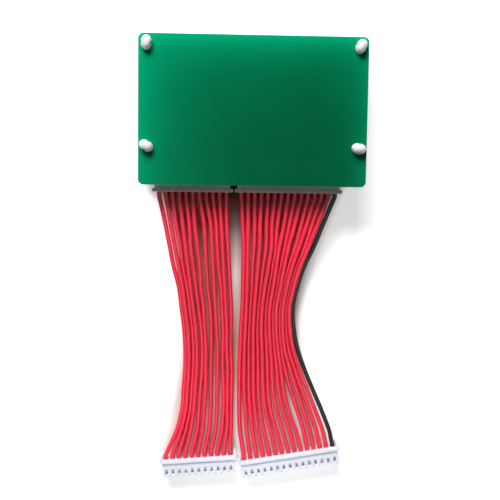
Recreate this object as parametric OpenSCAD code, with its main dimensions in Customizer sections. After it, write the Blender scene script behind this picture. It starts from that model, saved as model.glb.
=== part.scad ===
// Active balancer board: a component board under a blank cover board, held apart by four
// snap-in spacers, with two right-angle connectors and two loose-wire harnesses.
// +Z is up, +X runs along the connectors, the harnesses leave towards -Y.
// The origin is on the standing surface, under the middle of the boards.

/* [Boards] */
// Width of both boards, along the connectors
board_w = 83; // [75:0.5:110]
// Depth of both boards, from the connector edge to the rear edge
board_d = 54; // [52:0.5:80]
// Thickness of each board
board_t = 1.6; // [0.8:0.1:2.4]
// Radius of the boards' corners
board_corner_r = 2; // [0.5:0.1:3]
// Free height between the two boards
board_gap = 10; // [8:0.5:20]

/* [Spacers] */
// Diameter of the spacer holes in both boards
hole_d = 4; // [3.4:0.1:4.2]
// Distance from the side edges to the hole centres
hole_side_inset = 3; // [2.9:0.1:6]
// Distance from the rear edge to the rear hole centres
hole_rear_inset = 3.5; // [2.9:0.1:6]
// Distance between the front and the rear holes
hole_pitch = 36.5; // [30:0.5:38]
// Diameter of the column between the boards
column_d = 5.6; // [5:0.1:6.4]
// Gap between a spacer's neck and its hole, all round
neck_clearance = 0.1; // [0.05:0.01:0.2]
// Length of the snap nose across its two lobes
nose_l = 5.4; // [5.2:0.1:6]
// Width of the snap nose
nose_w = 4; // [3.8:0.1:4.6]
// Height of the snap nose past the board
nose_h = 3.2; // [2.4:0.1:5]
// Height of the nose's straight rim, below its dome
nose_rim_h = 0.7; // [0.3:0.1:1.2]
// Diameter of the flat on the nose's tip
nose_tip_d = 2.2; // [1.2:0.1:3]
// Width of the slot that lets the lobes spring in
nose_slot_w = 0.9; // [0.5:0.1:1.4]
// Thickness of the bridge that joins the lobes at the tip
nose_bridge_h = 0.9; // [0.5:0.1:1.4]

/* [Headers] */
// Distance between neighbouring contacts
pitch = 2.5; // [2.4:0.01:2.54]
// Distance from the outermost contact to the end of a header or plug flange
end_margin = 2.45; // [2.3:0.05:2.8]
// Gap between the two headers
header_spacing = 0.75; // [0.4:0.05:1.5]
// Sideways shift of the pair of headers from the middle of the board
header_shift = -1.55; // [-2.5:0.05:2]
// Height of a header shell
header_h = 6.4; // [6:0.1:7.4]
// Thickness of a header's shell walls
header_wall = 0.8; // [0.6:0.05:1]
// Thickness of a header's back wall
header_back_t = 1.8; // [1.2:0.1:2.6]
// Width of the square header pins
pin_w = 0.64; // [0.5:0.01:0.7]
// Distance from a header's back to the middle of the pins' legs
pin_leg_gap = 1.5; // [1:0.1:2.5]
// Diameter of the pin holes in the component board
pin_hole_d = 1.05; // [1:0.01:1.2]
// Length of the pins' tails past the underside of the board
pin_tail = 1.2; // [0.8:0.1:2]
// Diameter of a solder joint on the board
solder_d = 1.9; // [1.5:0.1:2.2]
// Height of a solder joint
solder_h = 0.8; // [0.4:0.05:0.8]

/* [Plugs] */
// Gap between a plug and the header round it
plug_clearance = 0.1; // [0.05:0.01:0.2]
// Length of a plug from its wire face to its mating end
plug_len = 6.6; // [6.2:0.1:8.8]
// Gap between a plug's mating end and the header's back wall
plug_end_gap = 0.8; // [0.3:0.1:1.5]
// Thickness of the flange at the wire face
flange_t = 1.3; // [1:0.1:1.6]
// Height by which the flange stands proud of the plug's body
flange_lip = 0.6; // [0.4:0.05:0.7]
// Length of the body that shows between a header's mouth and the flange
plug_gap = 1.3; // [0.6:0.1:1.6]
// Width of the finger ears at the ends of a loose plug's flange
ear_w = 1.2; // [0.8:0.1:1.3]
// Length of the finger ears past the wire face
ear_len = 1.6; // [1:0.1:2.4]
// Width of a contact window
window_w = 1; // [0.7:0.05:1.2]
// Length of a contact window
window_len = 2; // [1.2:0.1:2.2]
// Distance from a contact window to the mating end
window_setback = 0.9; // [0.8:0.05:1.2]
// Width of the notches in the mating edge
notch_w = 1.1; // [0.8:0.05:1.2]
// Depth of the notches in the mating edge
notch_d = 0.4; // [0.2:0.05:0.5]
// Width of the two keys under a plug
key_w = 1.2; // [0.8:0.1:1.4]
// Thickness of the wall at the mating end
plug_end_t = 0.8; // [0.7:0.05:1]

/* [Contacts and wires] */
// Outer diameter of a wire's insulation
wire_d = 1.7; // [1.4:0.05:1.75]
// Gap between a wire and its pocket in the plug
wire_clearance = 0.1; // [0.05:0.01:0.15]
// Depth at which a wire ends inside the plug
wire_seat = 1.6; // [1.4:0.1:1.8]
// Gap between a contact and the sides of its pocket
contact_clearance = 0.15; // [0.05:0.01:0.2]
// Thickness of a contact's sheet metal
contact_t = 0.25; // [0.15:0.01:0.3]
// Diameter of a contact's crimp barrel
crimp_d = 1.4; // [1:0.05:1.5]
// Length of a contact's crimp barrel
crimp_len = 1.3; // [1:0.1:1.4]
// Height of the locking lance on a contact
lance_h = 0.5; // [0.3:0.05:0.7]

/* [Component groups] */
// Width and depth of an inductor
inductor_w = 5.8; // [4.5:0.1:6]
// Height of an inductor
inductor_h = 4; // [2.5:0.1:6]
// Chamfer on an inductor's corners
inductor_chamfer = 0.9; // [0.4:0.1:1.2]
// Diameter of the drum in an inductor's top
drum_d = 4.2; // [3:0.1:4.2]
// Width of the groove round the drum
drum_groove_w = 0.35; // [0.2:0.05:0.4]
// Depth of the groove round the drum
drum_groove_d = 0.4; // [0.2:0.05:1]
// Width of an inductor's solder terminals
terminal_w = 1.8; // [1.2:0.1:2.4]
// Thickness of an inductor's solder terminals
terminal_t = 0.2; // [0.1:0.05:0.3]
// Height of an inductor's solder terminals
terminal_h = 1.2; // [0.6:0.1:2]
// Width and depth of a balancer chip
chip_w = 4; // [3:0.1:4.2]
// Height of a balancer chip
chip_h = 1; // [0.7:0.1:1.6]
// Length of a ceramic capacitor
capacitor_l = 3.2; // [2:0.1:3.4]
// Width and height of a ceramic capacitor
capacitor_w = 1.6; // [1:0.1:1.7]
// Length of a sense resistor
resistor_l = 1.6; // [1:0.1:1.8]
// Width of a sense resistor
resistor_w = 0.8; // [0.5:0.1:1]
// Height of a sense resistor
resistor_h = 0.5; // [0.3:0.05:0.7]
// Gap kept between the component field and what stands round it
field_margin = 0.7; // [0.4:0.1:1.5]

/* [Loose plugs] */
// Middle of the left loose plug's wire face, sideways
left_free_x = -19.1; // [-21:0.1:-19.1]
// Middle of the left loose plug's wire face, in front of the origin
left_free_y = -132.9; // [-140:0.1:-130]
// Turn of the left loose plug
left_free_turn = 4; // [0:0.5:6]
// Middle of the right loose plug's wire face, sideways
right_free_x = 16.1; // [16.1:0.1:18]
// Middle of the right loose plug's wire face, in front of the origin
right_free_y = -131.3; // [-138:0.1:-131]
// Turn of the right loose plug
right_free_turn = 9; // [6:0.5:10]

/* [Hidden] */
$fn = 48;
eps = 0.01;
cut = 1;

// Stack of the boards
main_z = nose_h;
main_top_z = main_z + board_t;
cover_z = main_top_z + board_gap;
front_y = -board_d / 2;
hole_x = board_w / 2 - hole_side_inset;
rear_hole_y = board_d / 2 - hole_rear_inset;
front_hole_y = rear_hole_y - hole_pitch;
neck_d = hole_d - 2 * neck_clearance;
// Turns of the snap noses: rear left, rear right, front left, front right
nose_turns = [90, 65, 150, -10];
// Sphere of the nose's dome, through its rim and the edge of its tip
nose_r = nose_l / 2;
tip_r = nose_tip_d / 2;
dome_z = (nose_r^2 - tip_r^2 + nose_rim_h^2 - nose_h^2) / (2 * (nose_rim_h - nose_h));
dome_r = sqrt(nose_r^2 + (nose_rim_h - dome_z)^2);

// Stations that the harnesses pass on their way to the loose plugs
station_y = [-42, -50, -58, -66, -74, -82, -90, -98, -106, -114, -122];
// Height of the lower wires at each station, and how far every second wire lies above them
station_z = [7.2, 6.3, 5.2, 4, 2.9, 2, 1.3, 0.9, 0.9, 1.1, 1.7];
station_lift = [0.4, 1, 1.2, 1.4, 1.4, 1.4, 1.3, 1.1, 1, 1, 0.9];
// Sideways place of each left wire, one row per station
left_station_x = [
    [-32, -30, -28, -25.5, -23, -21, -17.5, -15, -13, -11, -9],
    [-30.5, -28.5, -26.5, -24.5, -22.5, -20, -17, -14.5, -12.5, -10.5, -8.5],
    [-29, -27, -25.5, -23.5, -21.5, -19, -16.5, -14, -12, -10, -8],
    [-27, -25.5, -24, -22.5, -20.5, -18.5, -16, -13.5, -11, -9.5, -7.5],
    [-26, -24.5, -23, -21.5, -19.5, -17.5, -15, -13, -10.5, -9, -7],
    [-25, -23.5, -22, -20.5, -18.5, -17, -14.5, -12.5, -10, -8.5, -7],
    [-24.5, -23, -21.5, -20, -18, -16.5, -14.5, -12, -10, -8.5, -7],
    [-24.5, -23, -21.5, -20, -18, -16.5, -14.5, -12, -10, -8, -6.5],
    [-25, -23.5, -22, -20.5, -18.5, -16.5, -14.5, -12, -9.5, -8, -6.5],
    [-25.5, -24, -22.5, -21, -19, -17, -14.5, -12, -9.5, -8, -6.5],
    [-27.3, -25.7, -24, -22, -19.5, -17.5, -15, -12.5, -10, -8, -6.5],
];
// Sideways place of each right wire, one row per station; the last wire is the black one
right_station_x = [
    [-3, -1, 1.5, 3.5, 6, 8, 10, 12.5, 14.5, 16.5, 19, 21, 23, 25, 27],
    [-2.5, -1, 1.5, 3.5, 6, 8, 9.5, 11, 13, 14.5, 17, 18.5, 20.5, 22, 24],
    [-2.5, -1, 1, 3, 5, 7, 8.5, 10, 11.5, 13, 14.5, 16, 17.5, 19, 20.5],
    [-2.5, -1, 0.8, 2.5, 4.2, 5.8, 7.4, 9, 10.4, 11.8, 13, 14.2, 15.5, 16.8, 18.2],
    [-2.6, -1.1, 0.4, 2, 3.5, 5, 6.5, 7.9, 9.2, 10.5, 11.8, 13, 14.2, 15.4, 16.8],
    [-3, -1.4, 0.1, 1.7, 3.2, 4.8, 6.4, 7.9, 9.3, 10.6, 11.9, 13.1, 14.4, 15.8, 17.4],
    [-3.2, -1.6, 0, 1.8, 3.5, 5.2, 7, 8.5, 10, 11.4, 12.7, 14, 15.5, 17.2, 19],
    [-3.4, -1.6, 0.2, 2, 3.8, 5.6, 7.4, 9.2, 11, 12.6, 14.2, 16.2, 18, 19.8, 21.8],
    [-3.4, -1.5, 0.3, 2.1, 4, 5.9, 7.8, 9.7, 11.9, 13.8, 16.5, 18.8, 20.9, 23, 25.2],
    [-3.3, -1, 0.9, 2.7, 4.7, 6.8, 8.8, 11.1, 13.5, 15.7, 19.2, 21.6, 24, 26.2, 28.7],
    [-3, -0.4, 1.8, 3.9, 6.2, 8.8, 11, 13.6, 16.2, 18.6, 21.8, 24.2, 26.8, 29.3, 31.9],
];
left_ways = len(left_station_x[0]);
right_ways = len(right_station_x[0]);
// Straight length of a wire outside each plug
wire_lead = 1.5;
// Share of the way from there to the nearest station, after which the wire has turned
wire_turn = 0.3;
// Sides of a wire's solid and rings between two points
wire_sides = 8;
wire_steps = 2;

// Connectors
function row_span(ways) = pitch * (ways - 1);
function flange_w(ways) = row_span(ways) + 2 * end_margin;
function way_x(ways, i) = pitch * (i - (ways - 1) / 2);
pair_w = flange_w(left_ways) + header_spacing + flange_w(right_ways);
left_x = header_shift - pair_w / 2 + flange_w(left_ways) / 2;
right_x = header_shift + pair_w / 2 - flange_w(right_ways) / 2;
axis_z = main_top_z + header_h / 2;
plug_y = front_y - plug_gap - flange_t;
plug_body_h = header_h - 2 * header_wall - 2 * plug_clearance;
flange_h = plug_body_h + 2 * flange_lip;
free_z = flange_h / 2;
body_margin = end_margin - header_wall - plug_clearance;
header_mouth_d = plug_len - flange_t - plug_gap + plug_end_gap;
header_depth = header_mouth_d + header_back_t;
header_back_y = front_y + header_depth;
pin_leg_y = header_back_y + pin_leg_gap;
key_inset = end_margin + pitch / 2;

// Contacts, in a plug's own frame with the wire face at y = 0
pocket_w = wire_d + 2 * wire_clearance;
contact_w = pocket_w - 2 * contact_clearance;
contact_end_y = plug_len - plug_end_t;
contact_box_y = wire_seat + crimp_len;
contact_bore_y = contact_box_y + contact_t;
contact_bore_w = contact_w - 2 * contact_t;
contact_bore_h = pin_w + contact_t;
contact_top_z = -pin_w / 2 + contact_bore_h + contact_t;
pin_opening_w = pin_w + 2 * contact_t;
pin_tip_y = plug_y + contact_bore_y + contact_t;

// Field of repeated balancing stages on the component board
field_w = 2 * (hole_x - column_d / 2 - field_margin);
field_front_y = pin_leg_y + solder_d / 2 + field_margin;
field_d = board_d / 2 - field_margin - field_front_y;
stage_gap = 0.5;
stage_need_w = inductor_w + capacitor_w + 2 * stage_gap;
stage_need_d = inductor_w + 2 * terminal_t + chip_w + 3 * stage_gap;
stage_columns = floor(field_w / stage_need_w);
stage_rows = floor(field_d / stage_need_d);
stage_w = field_w / stage_columns;
stage_d = field_d / stage_rows;
inductor_x = -(capacitor_w + stage_gap) / 2;
inductor_y = (chip_w + stage_gap) / 2;
chip_x = inductor_x;
chip_y = inductor_y - inductor_w / 2 - terminal_t - stage_gap - chip_w / 2;
beside_x = inductor_x + inductor_w / 2 + stage_gap + capacitor_w / 2;
capacitor_rear_y = inductor_y + stage_gap;
resistor_y = capacitor_rear_y - capacitor_l / 2 - stage_gap - resistor_l / 2;
capacitor_front_y = resistor_y - resistor_l / 2 - stage_gap - capacitor_l / 2;

red_wires = [
    for (i = [1 : left_ways]) str("left_wire_", i),
    for (i = [1 : right_ways - 1]) str("right_wire_", i),
];

// Boards

module at_hole(i) {
    x = i % 2 == 0 ? -hole_x : hole_x;
    y = i < 2 ? rear_hole_y : front_hole_y;
    translate([x, y, 0]) children();
}

module board_outline() {
    inner_w = board_w - 2 * board_corner_r;
    inner_d = board_d - 2 * board_corner_r;
    square([board_w, inner_d], center = true);
    square([inner_w, board_d], center = true);
    for (x = [-1, 1], y = [-1, 1])
        translate([x * inner_w / 2, y * inner_d / 2]) circle(r = board_corner_r);
}

module blank_board() {
    difference() {
        linear_extrude(board_t) board_outline();
        for (i = [0 : 3])
            at_hole(i) translate([0, 0, -cut]) cylinder(d = hole_d, h = board_t + 2 * cut);
    }
}

module cover_board() {
    color("seagreen") translate([0, 0, cover_z]) blank_board();
}

module pin_holes(ways) {
    for (i = [0 : ways - 1])
        translate([way_x(ways, i), pin_leg_y, -cut]) cylinder(d = pin_hole_d, h = board_t + 2 * cut);
}

module main_board() {
    color("darkgreen") translate([0, 0, main_z])
        difference() {
            blank_board();
            translate([left_x, 0, 0]) pin_holes(left_ways);
            translate([right_x, 0, 0]) pin_holes(right_ways);
        }
}

// Spacers

module snap_nose() {
    slot_h = nose_h - nose_bridge_h;
    difference() {
        intersection() {
            scale([1, nose_w / nose_l, 1])
                intersection() {
                    translate([0, 0, -cut]) cylinder(r = nose_r, h = nose_h + 2 * cut);
                    translate([0, 0, dome_z]) sphere(r = dome_r);
                }
            translate([-nose_l, -nose_l, 0]) cube([2 * nose_l, 2 * nose_l, nose_h]);
        }
        translate([-nose_slot_w / 2, -nose_w, -cut]) cube([nose_slot_w, 2 * nose_w, slot_h + cut]);
    }
}

module spacer_end() {
    cylinder(d = neck_d, h = board_t);
    translate([0, 0, board_t]) snap_nose();
}

module spacer(i) {
    color("white") at_hole(i) rotate(nose_turns[i]) {
        translate([0, 0, main_top_z]) cylinder(d = column_d, h = board_gap);
        translate([0, 0, cover_z]) spacer_end();
        translate([0, 0, main_top_z]) mirror([0, 0, 1]) spacer_end();
    }
}

// Headers

module header_shell(ways) {
    w = flange_w(ways);
    mouth_w = w - 2 * header_wall;
    mouth_h = header_h - 2 * header_wall;
    key_slot_w = key_w + 2 * plug_clearance;
    color("ivory") difference() {
        translate([-w / 2, 0, -header_h / 2]) cube([w, header_depth, header_h]);
        translate([-mouth_w / 2, -cut, -mouth_h / 2]) cube([mouth_w, header_mouth_d + cut, mouth_h]);
        for (side = [-1, 1])
            translate([side * (w / 2 - key_inset) - key_slot_w / 2, -cut, -header_h / 2 - cut])
                cube([key_slot_w, header_mouth_d + cut, header_wall + 2 * cut]);
        for (i = [0 : ways - 1])
            translate([way_x(ways, i) - pin_w / 2, header_mouth_d - cut, -pin_w / 2])
                cube([pin_w, header_back_t + 2 * cut, pin_w]);
    }
}

module header_pins(ways) {
    leg_end_z = main_z - pin_tail;
    color("silver") for (i = [0 : ways - 1])
        translate([way_x(ways, i) - pin_w / 2, 0, 0]) {
            translate([0, pin_tip_y, axis_z - pin_w / 2])
                cube([pin_w, pin_leg_y + pin_w / 2 - pin_tip_y, pin_w]);
            translate([0, pin_leg_y - pin_w / 2, leg_end_z])
                cube([pin_w, pin_w, axis_z + pin_w / 2 - leg_end_z]);
        }
}

module solder_joints(ways) {
    for (i = [0 : ways - 1])
        translate([way_x(ways, i), pin_leg_y, main_z - solder_h])
            difference() {
                cylinder(d1 = pin_hole_d, d2 = solder_d, h = solder_h);
                translate([-pin_w / 2, -pin_w / 2, -cut]) cube([pin_w, pin_w, solder_h + 2 * cut]);
            }
}

module pin_solder() {
    color("lightgray") {
        translate([left_x, 0, 0]) solder_joints(left_ways);
        translate([right_x, 0, 0]) solder_joints(right_ways);
    }
}

// Plugs, drawn with the wire face at y = 0 and the mating end towards +Y

module on_header(x) {
    translate([x, plug_y, axis_z]) children();
}

module on_floor(x, y, turn) {
    translate([x, y, free_z]) rotate(180 + turn) children();
}

module finger_ear() {
    straight = ear_len - ear_w / 2;
    translate([-ear_w / 2, -straight, 0]) cube([ear_w, straight + flange_t / 2, flange_h]);
    translate([0, -straight, 0]) cylinder(d = ear_w, h = flange_h);
}

module plug_outer(ways, has_ears) {
    w = flange_w(ways);
    body_w = row_span(ways) + 2 * body_margin;
    translate([-w / 2, 0, -flange_h / 2]) cube([w, flange_t, flange_h]);
    translate([-body_w / 2, flange_t / 2, -plug_body_h / 2])
        cube([body_w, plug_len - flange_t / 2, plug_body_h]);
    for (side = [-1, 1]) {
        if (has_ears) translate([side * (w - ear_w) / 2, 0, -flange_h / 2]) finger_ear();
        translate([side * (w / 2 - key_inset) - key_w / 2, flange_t / 2, -flange_h / 2])
            cube([key_w, plug_len - flange_t / 2, flange_lip + eps]);
    }
}

module way_cuts() {
    translate([-pocket_w / 2, -cut, -pocket_w / 2]) cube([pocket_w, contact_end_y + cut, pocket_w]);
    translate([-pin_opening_w / 2, 0, -pin_opening_w / 2])
        cube([pin_opening_w, plug_len + cut, pin_opening_w]);
    translate([-window_w / 2, plug_len - window_setback - window_len, 0])
        cube([window_w, window_len, plug_body_h]);
    translate([-notch_w / 2, plug_len - notch_d, -plug_body_h / 2 - cut])
        cube([notch_w, notch_d + cut, plug_body_h + 2 * cut]);
}

module plug_housing(ways, has_ears) {
    color("whitesmoke") difference() {
        plug_outer(ways, has_ears);
        for (i = [0 : ways - 1]) translate([way_x(ways, i), 0, 0]) way_cuts();
    }
}

module crimp_contact() {
    floor_z = -pocket_w / 2;
    box_l = contact_end_y - contact_box_y;
    translate([0, wire_seat, 0]) rotate([-90, 0, 0]) cylinder(d = crimp_d, h = crimp_len + contact_t);
    difference() {
        translate([-contact_w / 2, contact_box_y, floor_z])
            cube([contact_w, box_l, contact_top_z - floor_z]);
        translate([-contact_bore_w / 2, contact_bore_y, -pin_w / 2])
            cube([contact_bore_w, box_l, contact_bore_h]);
    }
    translate([0, plug_len - window_setback, contact_top_z]) rotate([90, 0, -90])
        linear_extrude(window_w - 2 * contact_clearance, center = true)
            polygon([[contact_clearance, -eps], [window_len - contact_clearance, -eps],
                [window_len - contact_clearance, lance_h]]);
}

module contact_row(ways) {
    color("silver") for (i = [0 : ways - 1]) translate([way_x(ways, i), 0, 0]) crimp_contact();
}

// Components, one of each kind or pair in every balancing stage

module each_stage() {
    for (column = [0 : stage_columns - 1], row = [0 : stage_rows - 1])
        translate([
            (column + 0.5) * stage_w - field_w / 2,
            field_front_y + (row + 0.5) * stage_d,
            main_top_z,
        ]) children();
}

module block(w, d, h) {
    translate([-w / 2, -d / 2, 0]) cube([w, d, h]);
}

module inductor() {
    half = inductor_w / 2;
    inner = half - inductor_chamfer;
    difference() {
        linear_extrude(inductor_h)
            polygon([[-inner, -half], [inner, -half], [half, -inner], [half, inner],
                [inner, half], [-inner, half], [-half, inner], [-half, -inner]]);
        translate([0, 0, inductor_h - drum_groove_d])
            difference() {
                cylinder(d = drum_d + 2 * drum_groove_w, h = drum_groove_d + cut);
                translate([0, 0, -cut]) cylinder(d = drum_d, h = drum_groove_d + 3 * cut);
            }
    }
}

module power_inductors() {
    color("dimgray") each_stage() translate([inductor_x, inductor_y, 0]) inductor();
}

module inductor_terminals() {
    offset_y = (inductor_w + terminal_t) / 2;
    color("silver") each_stage() for (side = [-1, 1])
        translate([inductor_x, inductor_y + side * offset_y, 0])
            block(terminal_w, terminal_t, terminal_h);
}

module balancer_chips() {
    color("black") each_stage() translate([chip_x, chip_y, 0]) block(chip_w, chip_w, chip_h);
}

module ceramic_capacitors() {
    color("tan") each_stage() for (y = [capacitor_rear_y, capacitor_front_y])
        translate([beside_x, y, 0]) block(capacitor_w, capacitor_l, capacitor_w);
}

module sense_resistors() {
    color("black") each_stage() translate([beside_x, resistor_y, 0])
        block(resistor_w, resistor_l, resistor_h);
}

// Wires, each one polyhedron swept along its route

function unit(v) = v / norm(v);

function left_free_point(i, out) =
    free_point(left_free_x, left_free_y, left_free_turn, way_x(left_ways, i), out);

function right_free_point(i, out) =
    free_point(right_free_x, right_free_y, right_free_turn, way_x(right_ways, i), out);

// A point on a wire's axis at a loose plug, the given distance outside its wire face
function free_point(x, y, turn, along, out) = [
    x + along * cos(turn) - out * sin(turn),
    y + along * sin(turn) + out * cos(turn),
    free_z,
];

function station_points(rows, i) = [
    for (s = [0 : len(station_y) - 1])
        [rows[s][i], station_y[s], station_z[s] + (i % 2) * station_lift[s]],
];

function plug_points(x) = [for (y = [wire_seat, 0, -wire_lead]) [x, plug_y + y, axis_z]];

// The points of a wire, with one more where it has turned towards the nearest station at each end
function whole_route(start, stations, end) =
    let (
        first = stations[0],
        last = stations[len(stations) - 1]
    )
    concat(
        start, [start[2] + wire_turn * (first - start[2])],
        stations,
        [end[0] + wire_turn * (last - end[0])], end
    );

function left_route(i) = whole_route(
    plug_points(left_x + way_x(left_ways, i)),
    station_points(left_station_x, i),
    [for (out = [wire_lead, 0, -wire_seat]) left_free_point(i, out)]
);

function right_route(i) = whole_route(
    plug_points(right_x + way_x(right_ways, i)),
    station_points(right_station_x, i),
    [for (out = [wire_lead, 0, -wire_seat]) right_free_point(i, out)]
);

// A point between a and b on the smooth curve that passes through before, a, b and after
function between(before, a, b, after, t) =
    a * (1 - 3 * t^2 + 2 * t^3) + b * (3 * t^2 - 2 * t^3)
    + (b - before) / 2 * (t - 2 * t^2 + t^3) + (after - a) / 2 * (t^3 - t^2);

function smooth(route) = [
    for (k = [0 : len(route) - 2], step = [0 : wire_steps - 1])
        between(route[max(k - 1, 0)], route[k], route[k + 1], route[min(k + 2, len(route) - 1)],
            step / wire_steps),
    route[len(route) - 1],
];

function ring(route, k) =
    let (
        along = unit(route[min(k + 1, len(route) - 1)] - route[max(k - 1, 0)]),
        side = unit(cross(along, [0, 0, 1])),
        up = cross(side, along)
    )
    [
        for (s = [0 : wire_sides - 1])
            let (a = 360 * (s + 0.5) / wire_sides)
                route[k] + wire_d / 2 * (cos(a) * side + sin(a) * up)
    ];

module wire(route) {
    curve = smooth(route);
    last = len(curve) - 1;
    points = [for (k = [0 : last]) each ring(curve, k)];
    sides = [
        for (k = [0 : last - 1], s = [0 : wire_sides - 1])
            let (
                a = k * wire_sides + s,
                b = k * wire_sides + (s + 1) % wire_sides
            )
            each [[a, a + wire_sides, b], [b, a + wire_sides, b + wire_sides]]
    ];
    start_cap = [for (s = [0 : wire_sides - 1]) s];
    end_cap = [for (s = [wire_sides - 1 : -1 : 0]) last * wire_sides + s];
    polyhedron(points, concat(sides, [start_cap, end_cap]));
}

module left_wire(i) {
    color("crimson") wire(left_route(i));
}

module right_wire(i) {
    color("crimson") wire(right_route(i));
}

module black_wire() {
    color("black") wire(right_route(right_ways - 1));
}

cover_board();
main_board();
spacer(0);  // rear_left_spacer
spacer(1);  // rear_right_spacer
spacer(2);  // front_left_spacer
spacer(3);  // front_right_spacer
translate([left_x, front_y, axis_z]) header_shell(left_ways);  // left_header
translate([right_x, front_y, axis_z]) header_shell(right_ways);  // right_header
translate([left_x, 0, 0]) header_pins(left_ways);  // left_header_pins
translate([right_x, 0, 0]) header_pins(right_ways);  // right_header_pins
pin_solder();
on_header(left_x) plug_housing(left_ways, false);  // left_board_plug
on_header(right_x) plug_housing(right_ways, false);  // right_board_plug
on_header(left_x) contact_row(left_ways);  // left_board_contacts
on_header(right_x) contact_row(right_ways);  // right_board_contacts
on_floor(left_free_x, left_free_y, left_free_turn) plug_housing(left_ways, true);  // left_free_plug
on_floor(right_free_x, right_free_y, right_free_turn) plug_housing(right_ways, true);  // right_free_plug
on_floor(left_free_x, left_free_y, left_free_turn) contact_row(left_ways);  // left_free_contacts
on_floor(right_free_x, right_free_y, right_free_turn) contact_row(right_ways);  // right_free_contacts
power_inductors();
inductor_terminals();
balancer_chips();
ceramic_capacitors();
sense_resistors();
black_wire();
for (i = [1 : left_ways])
    left_wire(i - 1);
for (i = [1 : right_ways - 1])
    right_wire(i - 1);
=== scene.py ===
"""Looks, cords, camera and light for the active balancer board."""

import math
from collections import namedtuple

import bmesh
import bpy
from mathutils import Matrix, Vector


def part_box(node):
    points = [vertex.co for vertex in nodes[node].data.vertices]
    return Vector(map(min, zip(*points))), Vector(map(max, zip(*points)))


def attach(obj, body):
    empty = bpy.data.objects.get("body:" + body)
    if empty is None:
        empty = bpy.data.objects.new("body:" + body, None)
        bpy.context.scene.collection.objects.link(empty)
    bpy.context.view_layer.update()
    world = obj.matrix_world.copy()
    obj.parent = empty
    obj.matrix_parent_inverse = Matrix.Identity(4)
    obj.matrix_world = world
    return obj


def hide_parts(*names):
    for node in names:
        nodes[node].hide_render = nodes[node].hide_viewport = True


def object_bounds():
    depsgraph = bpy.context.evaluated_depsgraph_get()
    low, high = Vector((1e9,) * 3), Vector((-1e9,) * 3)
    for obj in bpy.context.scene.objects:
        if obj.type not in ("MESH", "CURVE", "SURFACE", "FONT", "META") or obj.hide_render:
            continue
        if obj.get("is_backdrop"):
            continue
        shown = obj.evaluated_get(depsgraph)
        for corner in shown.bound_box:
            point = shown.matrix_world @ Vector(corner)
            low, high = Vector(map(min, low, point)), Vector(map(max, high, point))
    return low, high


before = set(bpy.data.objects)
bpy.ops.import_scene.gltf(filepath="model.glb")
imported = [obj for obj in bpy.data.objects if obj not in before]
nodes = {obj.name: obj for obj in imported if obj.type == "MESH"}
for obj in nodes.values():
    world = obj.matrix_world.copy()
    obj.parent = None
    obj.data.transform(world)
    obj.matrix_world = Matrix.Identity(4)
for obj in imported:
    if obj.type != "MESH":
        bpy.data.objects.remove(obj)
cad_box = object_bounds()

MM = 0.001
UP = Vector((0, 0, 1))
WHITE = (1, 1, 1, 1)
BODY = "root"

# Camera: where it points, how far off it stands and how it leans, in millimetres and degrees
CAMERA_TARGET = (-0.2, -51.23, 8.0)
CAMERA_DISTANCE = 320
CAMERA_TILT = (5.42, 2.24, -0.58)
CAMERA_LENS = 61.2
CAMERA_SENSOR = 36
CAMERA_NEAR = 10

# Wires, as in the part's source, in millimetres and degrees
WIRE_D = 1.7
WIRE_LEAD = 1.5
WIRE_TURN = 0.3
WIRE_SEAT = 1.6
PITCH = 2.5
PLUG_FACE_Y = -29.6
PLUG_AXIS_Z = 8
FREE_AXIS_Z = 2.9
LEFT_PLUG_X = -21.875
RIGHT_PLUG_X = 13.775
LEFT_FREE = (-19.1, -132.9, 4)
RIGHT_FREE = (16.1, -131.3, 9)
STATION_Y = [-42, -50, -58, -66, -74, -82, -90, -98, -106, -114, -122]
STATION_Z = [7.2, 6.3, 5.2, 4.0, 2.9, 2.0, 1.3, 0.9, 0.9, 1.1, 1.7]
STATION_LIFT = [0.4, 1, 1.2, 1.4, 1.4, 1.4, 1.3, 1.1, 1, 1, 0.9]
LEFT_STATION_X = [
    [-32, -30, -28, -25.5, -23, -21, -17.5, -15, -13, -11, -9],
    [-30.5, -28.5, -26.5, -24.5, -22.5, -20, -17, -14.5, -12.5, -10.5, -8.5],
    [-29, -27, -25.5, -23.5, -21.5, -19, -16.5, -14, -12, -10, -8],
    [-27, -25.5, -24, -22.5, -20.5, -18.5, -16, -13.5, -11, -9.5, -7.5],
    [-26, -24.5, -23, -21.5, -19.5, -17.5, -15, -13, -10.5, -9, -7],
    [-25, -23.5, -22, -20.5, -18.5, -17, -14.5, -12.5, -10, -8.5, -7],
    [-24.5, -23, -21.5, -20, -18, -16.5, -14.5, -12, -10, -8.5, -7],
    [-24.5, -23, -21.5, -20, -18, -16.5, -14.5, -12, -10, -8, -6.5],
    [-25, -23.5, -22, -20.5, -18.5, -16.5, -14.5, -12, -9.5, -8, -6.5],
    [-25.5, -24, -22.5, -21, -19, -17, -14.5, -12, -9.5, -8, -6.5],
    [-27.3, -25.7, -24, -22, -19.5, -17.5, -15, -12.5, -10, -8, -6.5],
]
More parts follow.
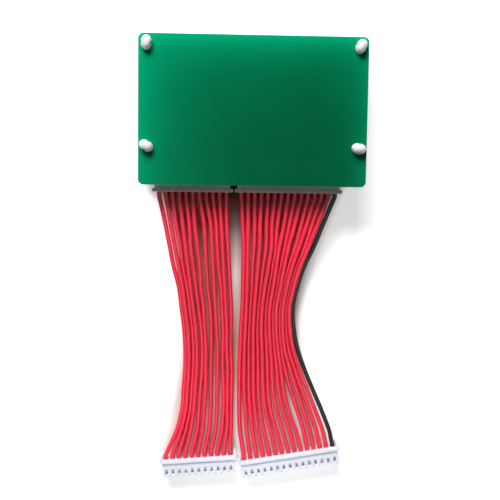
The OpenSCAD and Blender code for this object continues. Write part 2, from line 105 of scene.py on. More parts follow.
RIGHT_STATION_X = [
    [-3, -1, 1.5, 3.5, 6, 8, 10, 12.5, 14.5, 16.5, 19, 21, 23, 25, 27],
    [-2.5, -1, 1.5, 3.5, 6, 8, 9.5, 11, 13, 14.5, 17, 18.5, 20.5, 22, 24],
    [-2.5, -1, 1, 3, 5, 7, 8.5, 10, 11.5, 13, 14.5, 16, 17.5, 19, 20.5],
    [-2.5, -1, 0.8, 2.5, 4.2, 5.8, 7.4, 9, 10.4, 11.8, 13, 14.2, 15.5, 16.8, 18.2],
    [-2.6, -1.1, 0.4, 2, 3.5, 5, 6.5, 7.9, 9.2, 10.5, 11.8, 13, 14.2, 15.4, 16.8],
    [-3, -1.4, 0.1, 1.7, 3.2, 4.8, 6.4, 7.9, 9.3, 10.6, 11.9, 13.1, 14.4, 15.8, 17.4],
    [-3.2, -1.6, 0, 1.8, 3.5, 5.2, 7, 8.5, 10, 11.4, 12.7, 14, 15.5, 17.2, 19],
    [-3.4, -1.6, 0.2, 2, 3.8, 5.6, 7.4, 9.2, 11, 12.6, 14.2, 16.2, 18, 19.8, 21.8],
    [-3.4, -1.5, 0.3, 2.1, 4, 5.9, 7.8, 9.7, 11.9, 13.8, 16.5, 18.8, 20.9, 23, 25.2],
    [-3.3, -1, 0.9, 2.7, 4.7, 6.8, 8.8, 11.1, 13.5, 15.7, 19.2, 21.6, 24, 26.2, 28.7],
    [-3, -0.4, 1.8, 3.9, 6.2, 8.8, 11, 13.6, 16.2, 18.6, 21.8, 24.2, 26.8, 29.3, 31.9],
]
# Blender's resolution of the smooth tube, along it and round it
WIRE_RESOLUTION = 8
WIRE_ROUND_RESOLUTION = 4


# Camera

def make_camera():
    lean_x, lean_y, roll = (math.radians(angle) for angle in CAMERA_TILT)
    turn = (
        Matrix.Rotation(-lean_x, 4, "X")
        @ Matrix.Rotation(-lean_y, 4, "Y")
        @ Matrix.Rotation(-roll, 4, "Z")
    )
    data = bpy.data.cameras.new("camera")
    data.sensor_width = CAMERA_SENSOR
    data.lens = CAMERA_LENS
    data.clip_start = CAMERA_NEAR * MM
    camera = bpy.data.objects.new("camera", data)
    bpy.context.scene.collection.objects.link(camera)
    place = Matrix.Translation(Vector(CAMERA_TARGET) * MM)
    camera.matrix_world = place @ turn @ Matrix.Translation((0, 0, CAMERA_DISTANCE * MM))
    bpy.context.scene.camera = camera


# Materials

# A kind of surface, with sizes in millimetres: its spots of colour and the stops of their noise
# between which the colour changes, its patches of roughness and how far they go down and up, and
# its bumps
Surface = namedtuple(
    "Surface", "spot spot_detail stops patch roughness_change bump bump_detail bump_height"
)
NYLON = Surface(
    spot=2.2, spot_detail=3, stops=(0.3, 0.7),
    patch=0.9, roughness_change=(-0.06, 0.06),
    bump=0.18, bump_detail=2, bump_height=0.008,
)
METAL = Surface(
    spot=0.6, spot_detail=3, stops=(0.3, 0.7),
    patch=0.3, roughness_change=(-0.08, 0.1),
    bump=0.08, bump_detail=2, bump_height=0.006,
)
INSULATION = Surface(
    spot=2.6, spot_detail=4, stops=(0.25, 0.75),
    patch=1.1, roughness_change=(-0.07, 0.09),
    bump=0.5, bump_detail=2, bump_height=0.02,
)

# Solder mask on glass-fibre board, in millimetres
MASK_CLOUD = 16
MASK_CLOUD_DETAIL = 3
MASK_CLOUD_LEVELS = (-0.03, 0.06)
MASK_PATCH = 4
MASK_ROUGHNESS = (0.40, 0.50)
MASK_GRAIN = 0.35
MASK_BUMP_HEIGHT = 0.010
WEAVE_PITCH = 0.55
WEAVE_SHARE = 0.35
LAYER_PITCH = 0.2
LAYER_STOPS = (0.2, 0.8)
# Painted light in the cover board's mask colour, paler towards its rims: rim, share of the painted
# light there and the way over which it halves
PAINTED_RIM_LIGHTS = [
    ("rear", 0.75, 2.6),
    ("rear", 0.25, 11),
    ("left", 0.5, 4),
    ("left", 0.3, 16),
    ("right", 0.35, 3.2),
]

# Length of one wave of Blender's wave texture at a scale of 1
WAVE_LENGTH = math.pi / 10
# A face looks sideways where its normal rises or falls less than this
UPRIGHT_RISE = 0.5


class Look:
    """A procedural material in the row's own coordinates."""

    def __init__(self, name, **constants):
        self.material = bpy.data.materials.new(name)
        self.material.use_nodes = True
        self.tree = self.material.node_tree
        self.shader = self.tree.nodes["Principled BSDF"]
        self.coordinates = self.add("ShaderNodeTexCoord").outputs["Object"]
        for socket, value in constants.items():
            self.shader.inputs[socket.replace("_", " ")].default_value = value

    def add(self, kind, inputs=(), **settings):
        made = self.tree.nodes.new(kind)
        for key, value in settings.items():
            setattr(made, key, value)
        for socket, value in dict(inputs).items():
            if isinstance(value, bpy.types.NodeSocket):
                self.tree.links.new(value, made.inputs[socket])
            else:
                made.inputs[socket].default_value = value
        return made

    def place(self):
        """X, Y and Z of the point on the surface."""
        return self.add("ShaderNodeSeparateXYZ", {"Vector": self.coordinates}).outputs

    def noise(self, size, detail=2):
        """Soft random variation with spots of the given size in millimetres."""
        made = self.add(
            "ShaderNodeTexNoise",
            {"Vector": self.coordinates, "Scale": 1 / (size * MM), "Detail": detail},
        )
        return made.outputs["Fac"]

    def bands(self, pitch, axis):
        """Even waves across one axis, with the given pitch in millimetres."""
        made = self.add(
            "ShaderNodeTexWave",
            {"Vector": self.coordinates, "Scale": WAVE_LENGTH / (pitch * MM)},
            bands_direction=axis,
        )
        return made.outputs["Fac"]

    def math(self, operation, first, second=0.0):
        return self.add("ShaderNodeMath", {0: first, 1: second}, operation=operation).outputs[0]

    def between(self, factor, low, high):
        made = self.add("ShaderNodeMapRange", {"Value": factor, "To Min": low, "To Max": high})
        return made.outputs["Result"]

    def shades(self, factor, stops, colours):
        """Goes from the first to the second colour between two stops of the factor."""
        made = self.add("ShaderNodeValToRGB", {"Fac": factor})
        for element, stop, colour in zip(made.color_ramp.elements, stops, colours):
            element.position = stop
            element.color = (*colour, 1)
        return made.outputs["Color"]

    def mix(self, factor, first, second):
        made = self.add("ShaderNodeMix", {0: factor}, data_type="RGBA")
        for socket, value in ((6, first), (7, second)):
            if isinstance(value, bpy.types.NodeSocket):
                self.tree.links.new(value, made.inputs[socket])
            else:
                made.inputs[socket].default_value = (*value, 1)
        return made.outputs[2]

    def upright(self):
        """1 on faces that look sideways, 0 on faces that look up or down."""
        normal = self.add("ShaderNodeNewGeometry").outputs["Normal"]
        height = self.add("ShaderNodeSeparateXYZ", {"Vector": normal}).outputs["Z"]
        return self.math("LESS_THAN", self.math("ABSOLUTE", height), UPRIGHT_RISE)

    def finish(self, colour, roughness, height, depth):
        """Links colour, roughness and bumps, whose height is scaled by depth in millimetres."""
        bump = self.add("ShaderNodeBump", {"Height": height, "Distance": depth * MM})
        self.tree.links.new(colour, self.shader.inputs["Base Color"])
        self.tree.links.new(roughness, self.shader.inputs["Roughness"])
        self.tree.links.new(bump.outputs["Normal"], self.shader.inputs["Normal"])
        return self.material

    def finish_as(self, surface, colours, roughness):
        """Gives the material the spots, patches and bumps of a kind of surface."""
        colour = self.shades(self.noise(surface.spot, surface.spot_detail), surface.stops, colours)
        low, high = (roughness + change for change in surface.roughness_change)
        uneven = self.between(self.noise(surface.patch), low, high)
        bumps = self.noise(surface.bump, surface.bump_detail)
        return self.finish(colour, uneven, bumps, surface.bump_height)


def painted_rim_light(look, box):
    """Share of painted light from the board's rear, left and right rims that reaches a point."""
    low, high = box
    place = look.place()
    inwards = {
        "rear": look.math("SUBTRACT", high.y, place["Y"]),
        "left": look.math("SUBTRACT", place["X"], low.x),
        "right": look.math("SUBTRACT", high.x, place["X"]),
    }
    dark = 1.0
    for rim, share, reach in PAINTED_RIM_LIGHTS:
        halvings = look.math("DIVIDE", inwards[rim], reach * MM)
        glow = look.math("MULTIPLY", look.math("POWER", 0.5, halvings), share)
        dark = look.math("MULTIPLY", look.math("SUBTRACT", 1.0, glow), dark)
    return look.math("SUBTRACT", 1.0, dark)


def solder_mask_look(name, colours, laminate, painted_light_box=None):
    look = Look(name, IOR=1.5, Specular_IOR_Level=0.03)
    pale = look.between(look.noise(MASK_CLOUD, MASK_CLOUD_DETAIL), *MASK_CLOUD_LEVELS)
    # Painted light: the cover's mask gets paler towards its rear, left and right rims
    if painted_light_box:
        pale = look.math("ADD", pale, painted_rim_light(look, painted_light_box))
    mask = look.shades(pale, (0, 1), colours)
    layers = look.shades(look.bands(LAYER_PITCH, "Z"), LAYER_STOPS, laminate)
    colour = look.mix(look.upright(), mask, layers)
    roughness = look.between(look.noise(MASK_PATCH), *MASK_ROUGHNESS)
    weave = look.math("MULTIPLY", look.bands(WEAVE_PITCH, "X"), look.bands(WEAVE_PITCH, "Y"))
    height = look.math("ADD", look.math("MULTIPLY", weave, WEAVE_SHARE), look.noise(MASK_GRAIN))
    return look.finish(colour, roughness, height, MASK_BUMP_HEIGHT)


def nylon_look(name, colours, roughness, depth, gloss=0.5):
    """Moulded nylon, into which light goes to about the given depth in millimetres."""
    look = Look(
        name,
        IOR=1.53,
        Specular_IOR_Level=gloss,
        Subsurface_Weight=0.95,
        Subsurface_Scale=depth * MM,
        Subsurface_Radius=(1, 1, 1),
    )
    return look.finish_as(NYLON, colours, roughness)


def metal_look(name, colours, roughness):
    return Look(name, Metallic=1.0).finish_as(METAL, colours, roughness)


def insulation_look(name, colours, roughness, gloss):
    look = Look(name, IOR=1.45, Specular_IOR_Level=gloss)
    return look.finish_as(INSULATION, colours, roughness)


def ceramic_look(name, colours, roughness, grain):
    surface = Surface(
        spot=grain, spot_detail=4, stops=(0.3, 0.7),
        patch=grain * 2, roughness_change=(-0.08, 0.08),
        bump=grain / 2, bump_detail=3, bump_height=0.015,
    )
    return Look(name, IOR=1.55).finish_as(surface, colours, roughness)


# The second colour is the pale end, which the cover's painted rim light mostly reaches
MASK_COLOURS = [(0.0, 0.075, 0.023), (0.0, 0.41, 0.197)]
LAMINATE_COLOURS = [(0.16, 0.26, 0.12), (0.24, 0.34, 0.17)]
TRACE_COLOURS = [(0.003, 0.12, 0.045), (0.006, 0.22, 0.09)]
COVER_MASK_PAINTED_LIGHT = solder_mask_look("cover_mask_painted_rim_light", MASK_COLOURS, LAMINATE_COLOURS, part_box("cover_board"))
MASK = solder_mask_look("green_mask", MASK_COLOURS, LAMINATE_COLOURS)
TRACE_MASK = solder_mask_look("mask_on_copper", TRACE_COLOURS, TRACE_COLOURS)
SPACER_NYLON = nylon_look("white_nylon", [(0.76, 0.77, 0.77), (0.81, 0.82, 0.82)], 0.42, 3.2)
PLUG_NYLON = nylon_look("cool_white_nylon", [(0.75, 0.775, 0.89), (0.80, 0.825, 0.93)], 0.5, 1.0)
# Painted shade: the board plugs have the loose plugs' nylon made darker and warmer, as it looks
# under the cover's edge
SHADED_BOARD_PLUG_NYLON = nylon_look(
    "plug_nylon_painted_shade", [(0.70, 0.70, 0.61), (0.75, 0.75, 0.65)], 0.5, 0.4, gloss=0.3
)
HEADER_NYLON = nylon_look("ivory_nylon", [(0.80, 0.78, 0.70), (0.84, 0.82, 0.75)], 0.45, 0.4)
TIN = metal_look("tin_plate", [(0.50, 0.51, 0.53), (0.62, 0.63, 0.64)], 0.34)
# Painted shade: the contacts are darker than tin so that the plugs' windows read as shaded
SHADED_CONTACT = metal_look("contact_metal_painted_shade", [(0.20, 0.21, 0.23), (0.28, 0.29, 0.31)], 0.42)
SOLDER = metal_look("solder_alloy", [(0.55, 0.56, 0.58), (0.66, 0.67, 0.69)], 0.28)
RED = insulation_look("red_insulation", [(0.79, 0.018, 0.055), (0.89, 0.026, 0.072)], 0.42, 0.4)
BLACK = insulation_look(
    "black_insulation", [(0.010, 0.009, 0.010), (0.018, 0.016, 0.016)], 0.42, 0.22
)
FERRITE = ceramic_look("ferrite", [(0.035, 0.036, 0.040), (0.06, 0.06, 0.065)], 0.55, 0.3)
EPOXY = ceramic_look("black_epoxy", [(0.012, 0.012, 0.013), (0.02, 0.02, 0.021)], 0.5, 0.2)
CERAMIC = ceramic_look("tan_ceramic", [(0.42, 0.29, 0.16), (0.50, 0.36, 0.21)], 0.4, 0.4)


# The solids that stay as they are

# Look, radius of the broken edges in millimetres, and nodes
DRESSED = [
    (COVER_MASK_PAINTED_LIGHT, 0.12, ["cover_board"]),
    (MASK, 0.12, ["main_board"]),
    (SPACER_NYLON, 0.3, ["rear_left_spacer", "rear_right_spacer"]),
    (SPACER_NYLON, 0.3, ["front_left_spacer", "front_right_spacer"]),
    (HEADER_NYLON, 0.12, ["left_header", "right_header"]),
    (TIN, 0.03, ["left_header_pins", "right_header_pins"]),
    (SOLDER, 0.08, ["pin_solder"]),
    (SHADED_BOARD_PLUG_NYLON, 0.1, ["left_board_plug", "right_board_plug"]),
    (SHADED_CONTACT, 0.03, ["left_board_contacts", "right_board_contacts"]),
    (PLUG_NYLON, 0.1, ["left_free_plug", "right_free_plug"]),
    (SHADED_CONTACT, 0.03, ["left_free_contacts", "right_free_contacts"]),
    (FERRITE, 0.15, ["power_inductors"]),
    (TIN, 0.04, ["inductor_terminals"]),
    (EPOXY, 0.06, ["balancer_chips", "sense_resistors"]),
    (CERAMIC, 0.08, ["ceramic_capacitors"]),
]
# Corners closer than this, in millimetres, are one
WELD_GAP = 0.001
# Edges sharper than this, in degrees, are broken, in so many steps
EDGE_ANGLE = 40
EDGE_STEPS = 2
# How much more large faces count than small ones in the shading
FACE_WEIGHT = 90


def soften(piece, radius):
    piece.data.shade_smooth()
    weld = piece.modifiers.new("weld", "WELD")
    weld.merge_threshold = WELD_GAP * MM
    bevel = piece.modifiers.new("bevel", "BEVEL")
    bevel.width = radius * MM
    bevel.segments = EDGE_STEPS
    bevel.limit_method = "ANGLE"
    bevel.angle_limit = math.radians(EDGE_ANGLE)
    normals = piece.modifiers.new("normals", "WEIGHTED_NORMAL")
    normals.weight = FACE_WEIGHT


def dress_solids():
    for look, radius, names in DRESSED:
        for name in names:
            piece = nodes[name]
            piece.data.materials.clear()
            piece.data.materials.append(look)
            soften(piece, radius)


# Wires

def free_point(plug, along, out):
    """A point on a wire's axis at a loose plug, the given distance outside its wire face."""
    x, y, turn = plug
    c, s = math.cos(math.radians(turn)), math.sin(math.radians(turn))
    return Vector((x + along * c - out * s, y + along * s + out * c, FREE_AXIS_Z))


def wire_route(plug_x, rows, free_plug, i):
    along = PITCH * (i - (len(rows[0]) - 1) / 2)
    x = plug_x + along
    start = [Vector((x, PLUG_FACE_Y + y, PLUG_AXIS_Z)) for y in (WIRE_SEAT, 0, -WIRE_LEAD)]
    middle = [
        Vector((row[i], y, z + i % 2 * lift))
        for row, y, z, lift in zip(rows, STATION_Y, STATION_Z, STATION_LIFT)
    ]
    end = [free_point(free_plug, along, out) for out in (WIRE_LEAD, 0, -WIRE_SEAT)]
    start.append(start[-1].lerp(middle[0], WIRE_TURN))
    end.insert(0, end[0].lerp(middle[-1], WIRE_TURN))
    return [point * MM for point in start + middle + end]


def wire_curve(name, route):
    """A smooth tube through the route's points, curved as the wires in the part's source are."""
    data = bpy.data.curves.new(name, "CURVE")
    data.dimensions = "3D"
    data.resolution_u = WIRE_RESOLUTION
    data.bevel_depth = WIRE_D / 2 * MM
    data.bevel_resolution = WIRE_ROUND_RESOLUTION
    data.use_fill_caps = True
    spline = data.splines.new("BEZIER")
    last = len(route) - 1
    spline.bezier_points.add(last)
    for k, point in enumerate(spline.bezier_points):
        # A third of the tangent, which is half the way between the neighbours
        handle = (route[min(k + 1, last)] - route[max(k - 1, 0)]) / 6
        point.handle_left_type = point.handle_right_type = "FREE"
        point.co = route[k]
        point.handle_left = route[k] - handle
        point.handle_right = route[k] + handle
    wire = bpy.data.objects.new(name, data)
    bpy.context.scene.collection.objects.link(wire)
    return wire


def make_wire(node, route, look):
    wire = wire_curve(f"{node}_cord", route)
    wire.data.materials.append(look)
    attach(wire, BODY)
    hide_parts(node)
    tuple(route[1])


def make_wires():
    for i in range(len(LEFT_STATION_X[0])):
        route = wire_route(LEFT_PLUG_X, LEFT_STATION_X, LEFT_FREE, i)
        make_wire(f"left_wire_{i + 1}", route, RED)
    last = len(RIGHT_STATION_X[0]) - 1
    for i in range(last + 1):
        route = wire_route(RIGHT_PLUG_X, RIGHT_STATION_X, RIGHT_FREE, i)
        if i < last:
            make_wire(f"right_wire_{i + 1}", route, RED)
        else:
            make_wire("black_wire", route, BLACK)


# Small parts of the component board, each kind one piece, in millimetres

# How far an end cap stands proud of its capacitor or resistor, and the lengths of the caps
CAP_PROUD = 0.03
CAPACITOR_CAP_L = 0.5
RESISTOR_CAP_L = 0.32
CAP_EDGE = 0.06
# Length and height of the solder at each kind of end, and its hollow face in shares of the two
CAPACITOR_FILLET = (0.24, 0.9)
RESISTOR_FILLET = (0.2, 0.32)
TERMINAL_FILLET = (0.35, 0.8)
FILLET_FACE = [(0.45, 0.16), (0.15, 0.45)]
SOLDER_EDGE = 0.03
LEADS_PER_SIDE = 4
LEAD_PITCH = 0.95
LEAD_W = 0.36
LEAD_T = 0.15
LEAD_PATH = [(0, 0.55), (0.25, 0.55), (0.42, 0.09), (0.85, 0.09)]
LEAD_EDGE = 0.02
# Straight ends of a trace, and the distance between those of one column of stages
TRACE_START = 2.2
TRACE_SPREAD = 1.7
TRACE_W = 1.0
TRACE_T = 0.06
TRACE_EDGE = 0.03
VIA_D = 1.1
VIA_T = 0.1
VIA_TAPER = 0.8
VIA_SIDES = 16


def solids_of(name):
    """Lowest and highest corner of each separate solid in a node, in millimetres."""
    bm = bmesh.new()
    bm.from_mesh(nodes[name].data)
    bmesh.ops.remove_doubles(bm, verts=bm.verts, dist=WELD_GAP * MM)
    waiting = set(bm.verts)
    boxes = []
    while waiting:
        group, front = [], [waiting.pop()]
        while front:
            vert = front.pop()
            group.append(vert.co / MM)
            linked = {edge.other_vert(vert) for edge in vert.link_edges} & waiting
            waiting -= linked
            front.extend(linked)
        boxes.append((Vector(map(min, zip(*group))), Vector(map(max, zip(*group)))))
    bm.free()
    return sorted(boxes, key=lambda box: tuple(round(value, 2) for value in (*box[0], *box[1])))


def add_prism(bm, first, second):
    """A closed prism between two outlines of equal length, in millimetres."""
    rings = [[bm.verts.new(point * MM) for point in outline] for outline in (first, second)]
    bm.faces.new(rings[0])
    bm.faces.new(reversed(rings[1]))
    for k in range(len(first)):
        after = (k + 1) % len(first)
        bm.faces.new((rings[0][k], rings[1][k], rings[1][after], rings[0][after]))


def add_profile(bm, foot, out, across, profile):
    """A prism whose profile of (outwards, up) points stands at foot, as wide as across."""
    outline = [foot + out * along + UP * height for along, height in profile]
    add_prism(bm, [p - across / 2 for p in outline], [p + across / 2 for p in outline])


def fillet_profile(length, height):
    """A hollow wedge of solder against an upright face."""
    face = [(along * length, up * height) for along, up in FILLET_FACE]
    return [(0, height), (0, 0), (length, 0), *face]


def strip_profile(path, thickness):
    """A bent strip of even thickness along (outwards, up) points."""
    points = [Vector(point) for point in path]
    sides = []
    for k in range(len(points)):
        along = points[min(k + 1, len(points) - 1)] - points[max(k - 1, 0)]
        sides.append(Vector((-along.y, along.x)).normalized() * thickness / 2)
    upper = [point + side for point, side in zip(points, sides)]
    lower = [point - side for point, side in zip(points, sides)]
    return upper + lower[::-1]


def piece_from(name, bm, look, radius):
    bmesh.ops.recalc_face_normals(bm, faces=bm.faces)
    mesh = bpy.data.meshes.new(name)
    bm.to_mesh(mesh)
    bm.free()
    mesh.materials.append(look)
    piece = bpy.data.objects.new(name, mesh)
    bpy.context.scene.collection.objects.link(piece)
    soften(piece, radius)
    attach(piece, BODY)


def make_end_caps(name, node, length):
    """Tinned caps over both ends of each solid in a node, which lie along Y."""
    bm = bmesh.new()
    reach = length + CAP_PROUD
    for low, high in solids_of(node):
        width, height = high.x - low.x + 2 * CAP_PROUD, high.z - low.z + CAP_PROUD
        outline = [(0, 0), (reach, 0), (reach, height), (0, height)]
        for end, inwards in ((low.y - CAP_PROUD, 1), (high.y + CAP_PROUD, -1)):
            foot = Vector(((low.x + high.x) / 2, end, low.z))
            add_profile(bm, foot, Vector((0, inwards, 0)), Vector((width, 0, 0)), outline)
    piece_from(name, bm, TIN, CAP_EDGE)


def make_component_solder():
    bm = bmesh.new()
    fillets = {"ceramic_capacitors": CAPACITOR_FILLET, "sense_resistors": RESISTOR_FILLET}
    for node, fillet in fillets.items():
        for low, high in solids_of(node):
            across = Vector((high.x - low.x, 0, 0))
            for end, side in ((low.y, -1), (high.y, 1)):
                foot = Vector(((low.x + high.x) / 2, end + side * CAP_PROUD, low.z))
                add_profile(bm, foot, Vector((0, side, 0)), across, fillet_profile(*fillet))
    middles = [(low + high) / 2 for low, high in solids_of("power_inductors")]
    for low, high in solids_of("inductor_terminals"):
        middle = (low + high) / 2
        carrier = min(middles, key=lambda point: (point - middle).length)
        side = 1 if middle.y > carrier.y else -1
        foot = Vector((middle.x, high.y if side > 0 else low.y, low.z))
        across = Vector((high.x - low.x, 0, 0))
        add_profile(bm, foot, Vector((0, side, 0)), across, fillet_profile(*TERMINAL_FILLET))
    piece_from("component_solder", bm, SOLDER, SOLDER_EDGE)


def make_chip_leads():
    bm = bmesh.new()
    profile = strip_profile(LEAD_PATH, LEAD_T)
    for low, high in solids_of("balancer_chips"):
        for edge, side in ((low.x, -1), (high.x, 1)):
            for k in range(LEADS_PER_SIDE):
                y = (low.y + high.y) / 2 + LEAD_PITCH * (k - (LEADS_PER_SIDE - 1) / 2)
                foot = Vector((edge, y, low.z))
                add_profile(bm, foot, Vector((side, 0, 0)), Vector((0, LEAD_W, 0)), profile)
    piece_from("chip_leads", bm, TIN, LEAD_EDGE)


def trace_paths():
    """A path on the component board's underside from each header pin to one balancing stage."""
    pins = sorted(((low + high) / 2).to_2d()[:] for low, high in solids_of("pin_solder"))
    stages = [((low + high) / 2).to_2d() for low, high in solids_of("power_inductors")]
    columns = sorted({round(point.x, 1) for point in stages})
    rows = sorted({round(point.y, 1) for point in stages})
    spare = (len(pins) - len(stages)) // 2
    for k, (x, y) in enumerate(pins[spare:len(pins) - spare]):
        column, row = divmod(k, len(rows))
        goal_x = columns[column] + TRACE_SPREAD * (row - (len(rows) - 1) / 2)
        bend_y = y + TRACE_START
        turn_y = bend_y + abs(goal_x - x)
        goal_y = max(rows[row], turn_y + TRACE_START)
        yield [Vector(point) for point in ((x, y), (x, bend_y), (goal_x, turn_y), (goal_x, goal_y))]


def make_traces():
    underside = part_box("main_board")[0].z / MM
    angles = [2 * math.pi * k / VIA_SIDES for k in range(VIA_SIDES)]
    rim = [Vector((math.cos(angle), math.sin(angle), 0)) * VIA_D / 2 for angle in angles]
    lanes, vias = bmesh.new(), bmesh.new()
    for path in trace_paths():
        outline = [Vector((*point, underside)) for point in strip_profile(path, TRACE_W)]
        add_prism(lanes, outline, [point - UP * TRACE_T for point in outline])
        foot = Vector((*path[-1], underside))
        tip = foot - UP * VIA_T
        add_prism(vias, [foot + p for p in rim], [tip + p * VIA_TAPER for p in rim])
    piece_from("board_traces", lanes, TRACE_MASK, TRACE_EDGE)
    piece_from("board_vias", vias, SOLDER, SOLDER_EDGE)


def make_small_parts():
    make_end_caps("capacitor_end_caps", "ceramic_capacitors", CAPACITOR_CAP_L)
    make_end_caps("resistor_end_caps", "sense_resistors", RESISTOR_CAP_L)
    make_component_solder()
    make_chip_leads()
    make_traces()


# Floor, world and lamps, in metres, watts and degrees

FLOOR_SIZE = 6.0
FLOOR_Z = -0.0001
FLOOR_COLOUR = (0.86, 0.86, 0.86)
# Under the harnesses the floor has painted shade, reddened as painted light off the wires, inside
# an outline with a waist: its middle and half width there, and how both grow with the square of the
# way from the waist, up to a limit
FLOOR_PAINTED_WIRE_SHADE = (0.52, 0.28, 0.23)
FLOOR_WAIST_X = -0.003
FLOOR_WAIST_SKEW = 1.25
FLOOR_MOST_SKEW = 0.002
FLOOR_WAIST_Y = -0.082
FLOOR_WAIST_HALF = 0.020
FLOOR_WAIST_BEND = 4.4
FLOOR_WIDEST_HALF = 0.033
FLOOR_REAR_Y = 0.020
FLOOR_FRONT_Y = -0.132
# Rear and front end of the full painted shade under the wires, and the way over which it fades
# beyond each
FLOOR_PAINTED_WIRE_SHADE_ENDS = [(-0.027, 0.02), (-0.098, -0.034)]
# Along the boards' front edge the painted shade falls to a deeper painted shade, from the first
# place to the second
FLOOR_SHADE = (0.07, 0.06, 0.045)
FLOOR_SHADE_Y = (-0.0345, -0.0295)
# Distance outside the outline, and level of the white that the camera sees there
FLOOR_GLOW = [(0.0, 0.0), (0.005, 0.60), (0.20, 0.68), (0.70, 1.00)]
# Middle and half size of a painted pool of light on the floor in the gap between the harnesses, and
# its level
FLOOR_GAP_LIGHT = [("X", -0.0055, 0.0035), ("Y", -0.062, 0.026)]
FLOOR_GAP_LIGHT_LEVEL = 0.30
WORLD_LEVEL = 0.04
STAGE_CENTRE = (0, -0.05, 0)
LAMPS = [
    # name, place, target, width, height, power, and the rays that don't see the lamp
    ("key", (-0.16, 0.46, 0.39), STAGE_CENTRE, 0.45, 0.22, 7.2, "visible_glossy"),
    ("fill", (0.25, -1.00, 0.14), STAGE_CENTRE, 0.8, 0.2, 1.2, "visible_glossy"),
    ("gloss", (-0.02, -0.22, 0.45), (-0.02, -0.1, 0), 0.08, 0.2, 1.1, "visible_diffuse"),
]
SPOT_PLACE = (0.02, -0.36, 0.30)
SPOT_TARGET = (0.012, -0.150, 0)
SPOT_ANGLE = 22
SPOT_BLEND = 0.8
SPOT_RADIUS = 0.06
SPOT_POWER = 2.2


def seen_directly(tree):
    """1 for rays that show the background to the camera, 0 for rays that only light the part."""
    path = tree.nodes.new("ShaderNodeLightPath").outputs
    total = path["Is Camera Ray"]
    for ray in ("Is Glossy Ray", "Is Transmission Ray"):
        most = tree.nodes.new("ShaderNodeMath")
        most.operation = "MAXIMUM"
        tree.links.new(total, most.inputs[0])
        tree.links.new(path[ray], most.inputs[1])
        total = most.outputs[0]
    return total


def floor_outside(look, place):
    """Distance of a point on the floor from the outline of boards and harnesses, 0 inside it."""
    along = look.math("SUBTRACT", place["Y"], FLOOR_WAIST_Y)
    along_squared = look.math("MULTIPLY", along, along)
    bend = look.math("MULTIPLY", along_squared, FLOOR_WAIST_BEND)
    half = look.math("MINIMUM", look.math("ADD", bend, FLOOR_WAIST_HALF), FLOOR_WIDEST_HALF)
    skew = look.math("MULTIPLY", along_squared, FLOOR_WAIST_SKEW)
    middle = look.math("ADD", look.math("MINIMUM", skew, FLOOR_MOST_SKEW), FLOOR_WAIST_X)
    aside = look.math("ABSOLUTE", look.math("SUBTRACT", place["X"], middle))
    beside = look.math("SUBTRACT", aside, half)
    behind = look.math("SUBTRACT", place["Y"], FLOOR_REAR_Y)
    before = look.math("SUBTRACT", FLOOR_FRONT_Y, place["Y"])
    outside = 0.0
    for distance in (beside, behind, before):
        outside = look.math("MAXIMUM", distance, outside)
    return outside


def floor_level(look, place):
    """Level of the floor's white: none between the wires, full a good way outside the part, with a
    painted pool of light in the gap between the harnesses.
    """
    reach = FLOOR_GLOW[-1][0]
    share = look.math("DIVIDE", floor_outside(look, place), reach)
    fade = look.add("ShaderNodeFloatCurve", {"Value": share})
    curve = fade.mapping.curves[0]
    curve.points[0].location = (0, FLOOR_GLOW[0][1])
    curve.points[1].location = (1, FLOOR_GLOW[-1][1])
    for far, level in FLOOR_GLOW[1:-1]:
        curve.points.new(far / reach, level)
    for point in curve.points:
        point.handle_type = "VECTOR"
    fade.mapping.update()
    # Painted light: a pale pool on the floor in the gap between the harnesses
    gap = FLOOR_GAP_LIGHT_LEVEL
    for axis, middle, half in FLOOR_GAP_LIGHT:
        off = look.math("ABSOLUTE", look.math("SUBTRACT", place[axis], middle))
        gap = look.math("MULTIPLY", look.between(look.math("DIVIDE", off, half), 1.0, 0.0), gap)
    return look.math("MAXIMUM", fade.outputs["Value"], gap)


def floor_colour(look, place, level):
    """The floor's colour: painted shade under the wires, a deeper painted shade along the boards,
    pale elsewhere.
    """
    neutral = look.math("DIVIDE", level, FLOOR_GLOW[1][1])
    for end, fade in FLOOR_PAINTED_WIRE_SHADE_ENDS:
        beyond = look.math("DIVIDE", look.math("SUBTRACT", place["Y"], end), fade)
        neutral = look.math("MAXIMUM", beyond, neutral)
    far, near = FLOOR_SHADE_Y
    depth = look.math("DIVIDE", look.math("SUBTRACT", place["Y"], far), near - far)
    return look.mix(neutral, look.mix(depth, FLOOR_PAINTED_WIRE_SHADE, FLOOR_SHADE), FLOOR_COLOUR)


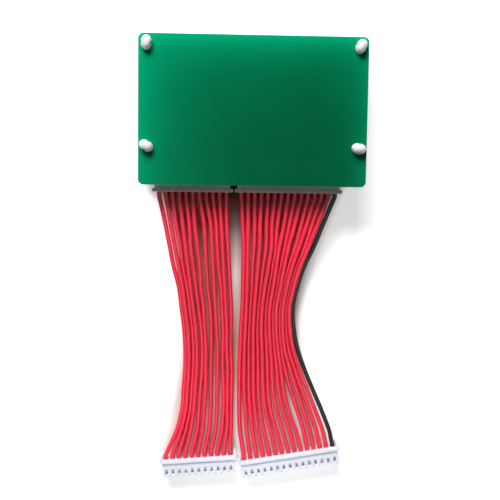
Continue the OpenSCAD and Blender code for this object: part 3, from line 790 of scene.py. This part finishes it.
def make_floor():
    mesh = bpy.data.meshes.new("floor")
    bm = bmesh.new()
    bmesh.ops.create_grid(bm, x_segments=1, y_segments=1, size=FLOOR_SIZE / 2)
    bm.to_mesh(mesh)
    bm.free()
    floor = bpy.data.objects.new("floor", mesh)
    floor.location.z = FLOOR_Z
    bpy.context.scene.collection.objects.link(floor)
    look = Look("pale_floor_painted_shade_and_light", Roughness=0.9, Specular_IOR_Level=0.0, Emission_Color=WHITE)
    place = look.place()
    level = floor_level(look, place)
    glow = look.math("MULTIPLY", seen_directly(look.tree), level)
    look.tree.links.new(floor_colour(look, place, level), look.shader.inputs["Base Color"])
    look.tree.links.new(glow, look.shader.inputs["Emission Strength"])
    mesh.materials.append(look.material)
    floor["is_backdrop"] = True


def make_world():
    world = bpy.data.worlds.new("studio")
    world.use_nodes = True
    tree = world.node_tree
    background = tree.nodes["Background"]
    background.inputs["Color"].default_value = WHITE
    level = tree.nodes.new("ShaderNodeMapRange")
    level.inputs["To Min"].default_value = WORLD_LEVEL
    level.inputs["To Max"].default_value = 1.0
    tree.links.new(seen_directly(tree), level.inputs["Value"])
    tree.links.new(level.outputs["Result"], background.inputs["Strength"])
    bpy.context.scene.world = world


def add_lamp(data, place, target, power):
    data.energy = power
    lamp = bpy.data.objects.new(data.name, data)
    lamp.location = place
    lamp.rotation_euler = (Vector(target) - lamp.location).to_track_quat("-Z", "Y").to_euler()
    bpy.context.scene.collection.objects.link(lamp)
    return lamp


def make_lamps():
    for name, place, target, width, height, power, unseen_by in LAMPS:
        data = bpy.data.lights.new(name, "AREA")
        data.shape = "RECTANGLE"
        data.size = width
        data.size_y = height
        setattr(add_lamp(data, place, target, power), unseen_by, False)
    spot = bpy.data.lights.new("plug_spot", "SPOT")
    spot.spot_size = math.radians(SPOT_ANGLE)
    spot.spot_blend = SPOT_BLEND
    spot.shadow_soft_size = SPOT_RADIUS
    add_lamp(spot, SPOT_PLACE, SPOT_TARGET, SPOT_POWER)


make_camera()
dress_solids()
make_wires()
make_small_parts()
make_floor()
make_world()
make_lamps()
bpy.context.scene.view_settings.view_transform = "Standard"

bpy.context.view_layer.update()
boxes = {"cad": cad_box, "visual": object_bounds()}
{name: [list(corner) for corner in box] for name, box in boxes.items()}
